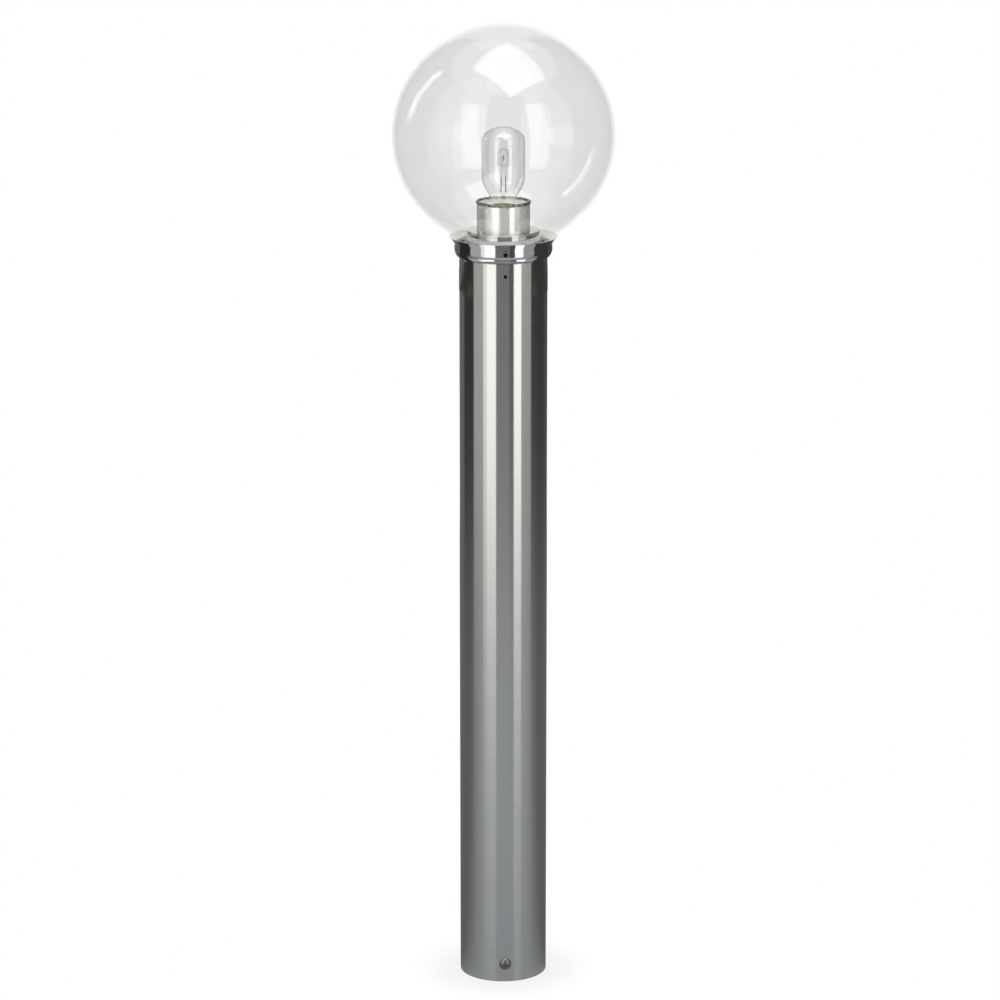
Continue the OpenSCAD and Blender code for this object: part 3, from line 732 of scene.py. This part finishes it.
globe_glass = clear_glass(
    "blown_clear_globe_glass",
    [(0.0, "#fbfbfb"), (0.4, "#fafafa"), (0.62, "#fafbfa"), (0.8, "#fdfdfd"), (1.0, "#fefefe")],
    ripple_mm=45.0,
    ripple_deep_mm=0.22,
)
# 9% face on is twice what such glass mirrors, so that the glints of the small lamp still show
lamp_glass = clear_glass(
    "blown_lamp_glass",
    [(0.0, "#ffffff"), (0.6, "#fdfefe"), (1.0, "#eef0f0")],
    ripple_mm=12.0,
    ripple_deep_mm=0.06,
    face_on=0.09,
)
quartz = clear_glass(
    "fused_quartz_capsule",
    [(0.0, "#ffffff"), (1.0, "#f4f5f5")],
    ripple_mm=9.0,
    ripple_deep_mm=0.03,
)
print("glass:", globe_glass.name, lamp_glass.name, quartz.name)

# %% [markdown]
# Every piece that comes over from the design takes its finish by the slot its material is named for.
# A few share a slot with pieces that look different, and get their own finish by name after that.

# %% Finish the carried-over pieces
FINISH = {
    "satin_tube": ground_tube,
    "globe_glass": globe_glass,
    "lamp_glass": lamp_glass,
    **METALS,
    **QUIET,
}
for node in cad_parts.values():
    for slot in node.material_slots:
        slot.material = FINISH[slot.material.name.split(".")[0]]
OWN_FINISH = {
    "globe_screw_1": blackened,
    "globe_screw_2": blackened,
    "globe_screw_3": blackened,
    "head_screws": blackened,
    "holder_cup": silver_lacquer,
    "foot_screws": shaded_foot_screw,
    "collar": spun_collar,
    "lamp_capsule": quartz,
    "lamp_stem": quartz,
}
for name, finish in OWN_FINISH.items():
    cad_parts[name].material_slots[0].material = finish
print("finishes by slot:", len(FINISH), "by name:", len(OWN_FINISH))

# %% [markdown]
# ## Turned pieces
# A turned piece is one outline swept round the axis. Its corners get small real radii first, since a
# polished edge is only seen by the line of light that its radius catches. Edges sharper than 32
# degrees stay sharp; everything flatter is shaded as one smooth surface.

# %% Outline and lathe helpers
SHARP = math.radians(32)


def eased_outline(corners, steps=4):
    """corners are (radius, height, corner radius) in metres, anticlockwise; returns the outline."""
    outline = []
    for i, (r, z, ease) in enumerate(corners):
        here = Vector((r, z))
        back = (Vector(corners[i - 1][:2]) - here).normalized()
        on = (Vector(corners[(i + 1) % len(corners)][:2]) - here).normalized()
        if not ease:
            outline.append((r, z))
            continue
        half = back.angle(on) / 2
        middle = here + (back + on).normalized() * ease / math.sin(half)
        first = here + back * ease / math.tan(half) - middle
        last = here + on * ease / math.tan(half) - middle
        sweep = first.angle_signed(last)
        for step in range(steps + 1):
            turn = -sweep * step / steps
            x = first.x * math.cos(turn) - first.y * math.sin(turn)
            y = first.x * math.sin(turn) + first.y * math.cos(turn)
            outline.append((middle.x + x, middle.y + y))
    return outline


def turned(name, outline, sides, shape=None):
    """Sweeps a closed outline round the upright axis; shape(radius, height, turn) may move a point."""
    points, faces = [], []
    for r, z in outline:
        for side in range(sides):
            turn = 2 * math.pi * side / sides
            radius, height = shape(r, z, turn) if shape else (r, z)
            points.append((radius * math.cos(turn), radius * math.sin(turn), height))
    for row in range(len(outline)):
        up = (row + 1) % len(outline)
        for side in range(sides):
            on = (side + 1) % sides
            faces.append(
                (row * sides + side, row * sides + on, up * sides + on, up * sides + side)
            )
    made = mesh_object(name, points, faces)
    made.data.shade_smooth()
    made.data.set_sharp_from_angle(angle=SHARP)
    return made


print("corners sharper than", round(math.degrees(SHARP)), "degrees stay sharp")

# %% [markdown]
# The design's own tube has square corners, so the post is turned again here, 192 sides round. The
# height and size of its screw holes come from the boxes of the two rings of screws. A row of edges
# just above and below each ring of holes keeps the faces that get drilled short.

# %% Post tube
TUBE_WALL = 2.0 * MM


def middle_and_radius(name):
    """Height of a ring of radial screws, and the radius of one of them."""
    low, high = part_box(name)
    return (low[2] + high[2]) / 2, (high[2] - low[2]) / 2


head_screw_up, head_screw_r = middle_and_radius("head_screws")
foot_screw_up, foot_head_r = middle_and_radius("foot_screws")
HOLE_ROOM = 6.0 * MM
INNER_EASE, FOOT_EASE, TOP_EASE = 0.3 * MM, 0.4 * MM, 0.6 * MM
post = turned(
    "ground_post_tube",
    eased_outline(
        [
            (post_r - TUBE_WALL, ground, INNER_EASE),
            (post_r, ground, FOOT_EASE),
            (post_r, foot_screw_up - HOLE_ROOM, 0),
            (post_r, foot_screw_up + HOLE_ROOM, 0),
            (post_r, head_screw_up - HOLE_ROOM, 0),
            (post_r, head_screw_up + HOLE_ROOM, 0),
            (post_r, post_top, TOP_EASE),
            (post_r - TUBE_WALL, post_top, INNER_EASE),
        ]
    ),
    sides=192,
)
print("post faces before drilling:", len(post.data.polygons))

# %% [markdown]
# The holes are drilled square to the tube at -90, 30 and 150 degrees: three small ones near the top
# for the head's grub screws, and three larger ones at the foot for the domed screws. A round bar
# stands for each drill, and a Boolean modifier takes it out of the wall.

# %% Drill the post
DRILL_LONG = 12 * MM
# the room round a grub screw, and a domed screw's shank as a share of its head
GRUB_ROOM = 0.12 * MM
DOME_TO_SHANK = 0.5


def radial_drill(turn, height, radius):
    """A round bar that points out from the axis through the tube's wall."""
    bar = bmesh.new()
    bmesh.ops.create_cone(
        bar, cap_ends=True, segments=40, radius1=radius, radius2=radius, depth=DRILL_LONG
    )
    mesh = bpy.data.meshes.new("drill")
    bar.to_mesh(mesh)
    bar.free()
    made = bpy.data.objects.new("drill", mesh)
    bpy.context.collection.objects.link(made)
    out = Vector((math.cos(turn), math.sin(turn), 0))
    made.matrix_world = Matrix.Translation(
        out * post_r + Vector((0, 0, height))
    ) @ out.to_track_quat("Z", "Y").to_matrix().to_4x4()
    return made


def drill(piece, cutters):
    """Cuts other meshes out of a piece, and takes them out of the scene."""
    for cutter in cutters:
        cut = piece.modifiers.new("drill", "BOOLEAN")
        cut.operation = "DIFFERENCE"
        cut.solver = "EXACT"
        cut.object = cutter
    seen = piece.evaluated_get(bpy.context.evaluated_depsgraph_get())
    solid = bpy.data.meshes.new_from_object(seen)
    piece.modifiers.clear()
    piece.data = solid
    for cutter in cutters:
        bpy.data.objects.remove(cutter)


drill(
    post,
    [radial_drill(turn, head_screw_up, head_screw_r + GRUB_ROOM) for turn in THREE_WAY]
    + [radial_drill(turn, foot_screw_up, foot_head_r * DOME_TO_SHANK) for turn in THREE_WAY],
)
print("post faces:", len(post.data.polygons), "head screw holes at", round(head_screw_up, 4))

# %% [markdown]
# Drilling leaves long uneven faces round the holes, whose shading would bend the straight lines that
# the tube mirrors. So every corner on the tube's two round walls is told to face straight away from
# the axis, or straight towards it inside, as a true cylinder does.

# %% Shade the post as a true cylinder
# the cosine of the lean up to which a face counts as part of a round wall
ON_THE_WALL = 0.995
post.data.shade_smooth()
post.data.set_sharp_from_angle(angle=SHARP)
normals = [corner.vector.copy() for corner in post.data.corner_normals]
for face in post.data.polygons:
    for loop in face.loop_indices:
        x, y, _ = post.data.vertices[post.data.loops[loop].vertex_index].co
        outward = Vector((x, y, 0)).normalized()
        lean = face.normal.dot(outward)
        if abs(lean) > ON_THE_WALL:
            normals[loop] = outward if lean > 0 else -outward
post.data.normals_split_custom_set(normals)
post.data.materials.append(ground_tube)
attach(post, "root")
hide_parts("post_tube")
print("post radius", round(post_r, 4), "wall", TUBE_WALL)

# %% [markdown]
# The carrier pot is pressed sheet, 1.6 mm thick: a round can with its lid rolled on, which leaves a
# thin dark seam under the lid's edge, and a flange turned in at its foot for the three bolts. The
# lid is open in the middle, where the foot of the lamp holder comes through.

# %% Carrier pot
SHEET = 1.6 * MM
FLANGE_WIDE, FLANGE_HIGH = 10 * MM, 3.0 * MM
SEAM_UP, SEAM_HIGH, SEAM_DEEP = 1.9 * MM, 0.9 * MM, 0.7 * MM
LID_HOLE = 19.5 * MM
FOLD, SHOULDER, EDGE = 0.4 * MM, 0.8 * MM, 0.2 * MM
seam_top = pot_top - SEAM_UP
seam_low = seam_top - SEAM_HIGH
pot = turned(
    "pressed_carrier_pot",
    eased_outline(
        [
            (pot_r - FLANGE_WIDE, pot_low, 0),
            (pot_r, pot_low, FOLD),
            (pot_r, seam_low, EDGE),
            (pot_r - SEAM_DEEP, seam_low, 0),
            (pot_r - SEAM_DEEP, seam_top, 0),
            (pot_r, seam_top, EDGE),
            (pot_r, pot_top, SHOULDER),
            (LID_HOLE, pot_top, EDGE),
            (LID_HOLE, pot_top - SHEET, 0),
            (pot_r - SHEET, pot_top - SHEET, 0),
            (pot_r - SHEET, pot_low + FLANGE_HIGH, 0),
            (pot_r - FLANGE_WIDE, pot_low + FLANGE_HIGH, EDGE),
        ]
    ),
    sides=160,
)
pot.data.materials.append(METALS["polished_steel"])
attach(pot, "root")
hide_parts("carrier_pot")
print("pot faces:", len(pot.data.polygons))

# %% [markdown]
# The dark bead clips over the holder cup's edge. Its outline is most of a circle, open at the bottom
# for a slot that takes the cup's sheet. Its round part swells 24 times on the way round, and each
# swelling catches its own point of light.

# %% Rippled bead
BEADS, SIDES_PER_BEAD = 24, 12
DIP = 0.36
BEAD_FROM, BEAD_SWEEP, BEAD_STEPS = -52, 284, 28
ring_out, ring_low, ring_high = span("rim_ring")
ring_thick = (ring_high - ring_low) / 2
ring_mid_r, ring_mid_z = ring_out - ring_thick, (ring_high + ring_low) / 2
slot_in, slot_out = cup_r - 1.1 * MM, cup_r + 0.05 * MM
slot_foot_in, slot_foot_out = ring_low + 0.5 * MM, ring_low + 0.4 * MM
around = [
    math.radians(BEAD_FROM + BEAD_SWEEP * i / BEAD_STEPS) for i in range(BEAD_STEPS + 1)
]
bead_outline = [
    (ring_mid_r + ring_thick * math.cos(a), ring_mid_z + ring_thick * math.sin(a)) for a in around
]
bead_outline += [
    (slot_in, slot_foot_in),
    (slot_in, cup_top),
    (slot_out, cup_top),
    (slot_out, slot_foot_out),
]


def rippled(r, z, turn):
    """Pulls the bead's round part in between two swellings."""
    if slot_in <= r <= slot_out and z <= cup_top:
        return r, z
    pull = 1 - DIP * (0.5 - 0.5 * math.cos(BEADS * turn))
    return ring_mid_r + (r - ring_mid_r) * pull, ring_mid_z + (z - ring_mid_z) * pull


bead = turned("rippled_rim_bead", bead_outline, sides=BEADS * SIDES_PER_BEAD, shape=rippled)
bead.data.materials.append(METALS["dark_bead"])
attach(bead, "root")
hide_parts("rim_ring")
print("bead faces:", len(bead.data.polygons))

# %% [markdown]
# The lamp's cap is a thin aluminium shell with a rolled round thread, right-handed, 7 turns to the
# inch (3.62 mm). The design has plain rings there because rings can be lifted straight; here the
# crest climbs once per turn as the real one does.

# %% Lamp cap with its thread
PITCH = 3.62 * MM
THREAD_DEEP = 0.7 * MM
THREAD_UP, THREAD_TURNS = 2 * MM, 5
CAP_SHEET = 0.5 * MM
CAP_ROWS = 72
thread_low = cap_low + THREAD_UP
thread_high = thread_low + THREAD_TURNS * PITCH
root_r = cap_r - THREAD_DEEP
cap_outline = [
    (root_r, cap_low + (cap_top - cap_low) * i / CAP_ROWS) for i in range(CAP_ROWS + 1)
]
cap_outline += [(root_r - CAP_SHEET, cap_top), (root_r - CAP_SHEET, cap_low)]


def threaded(r, z, turn):
    """Raises the crest of a right-hand thread on the cap's outside."""
    if r < root_r - CAP_SHEET / 2:
        return r, z
    ends = min(1, max(0, (z - thread_low) / PITCH + 0.5), max(0, (thread_high - z) / PITCH + 0.5))
    crest = 0.5 + 0.5 * math.cos(2 * math.pi * (z - thread_low) / PITCH - turn)
    return r + THREAD_DEEP * ends * crest, z


cap = turned("rolled_lamp_cap", cap_outline, sides=96, shape=threaded)
cap.data.materials.append(METALS["cap_aluminium"])
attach(cap, "lamp")
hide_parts("lamp_cap")
print("cap faces:", len(cap.data.polygons), "radius", round(cap_r, 5))

# %% [markdown]
# The halogen capsule holds a coiled tungsten filament. Real wire is thinner than a hair and wouldn't
# show, so it is drawn 0.3 mm thick: nine turns, 1.6 mm across, between two leads that run down to
# the flat pinch of the capsule. A curve with a round bevel is the simplest way to a bent wire.

# %% Filament
WIRE = 0.15 * MM
COIL_R, TURNS, STEPS = 0.8 * MM, 9, 12
COIL_HIGH = 5.0 * MM
LEAD_FOOT_UP, LEAD_BEND = 10.0 * MM, 0.6 * MM
RETURN_TOP, RETURN_OUT, RETURN_FOOT = -2.0 * MM, -2.6 * MM, -2.2 * MM
RETURN_DROP, RETURN_RISE = 1.0 * MM, 2 * MM
coil_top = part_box("lamp_filament")[1][2] - WIRE
coil_low = coil_top - COIL_HIGH + 2 * WIRE
lead_foot = capsule_low + LEAD_FOOT_UP
path = [(-COIL_R, 0, lead_foot), (-COIL_R, 0, coil_low - LEAD_BEND)]
for i in range(TURNS * STEPS + 1):
    turn = math.pi + 2 * math.pi * i / STEPS
    path.append(
        (
            COIL_R * math.cos(turn),
            COIL_R * math.sin(turn),
            coil_low + (coil_top - coil_low) * i / (TURNS * STEPS),
        )
    )
path += [
    (RETURN_TOP, 0, coil_top),
    (RETURN_OUT, 0, coil_top - RETURN_DROP),
    (RETURN_OUT, 0, lead_foot + RETURN_RISE),
    (RETURN_FOOT, 0, lead_foot),
]
wire = bpy.data.curves.new("coiled_filament", "CURVE")
wire.dimensions = "3D"
wire.bevel_depth = WIRE
wire.bevel_resolution = 2
wire.use_fill_caps = True
line = wire.splines.new("POLY")
line.points.add(len(path) - 1)
for point, place in zip(line.points, path):
    point.co = (*place, 1)
filament = bpy.data.objects.new("coiled_filament", wire)
bpy.context.collection.objects.link(filament)
wire.materials.append(METALS["lamp_wire"])
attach(filament, "lamp")
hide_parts("lamp_filament")
print("filament points:", len(path))
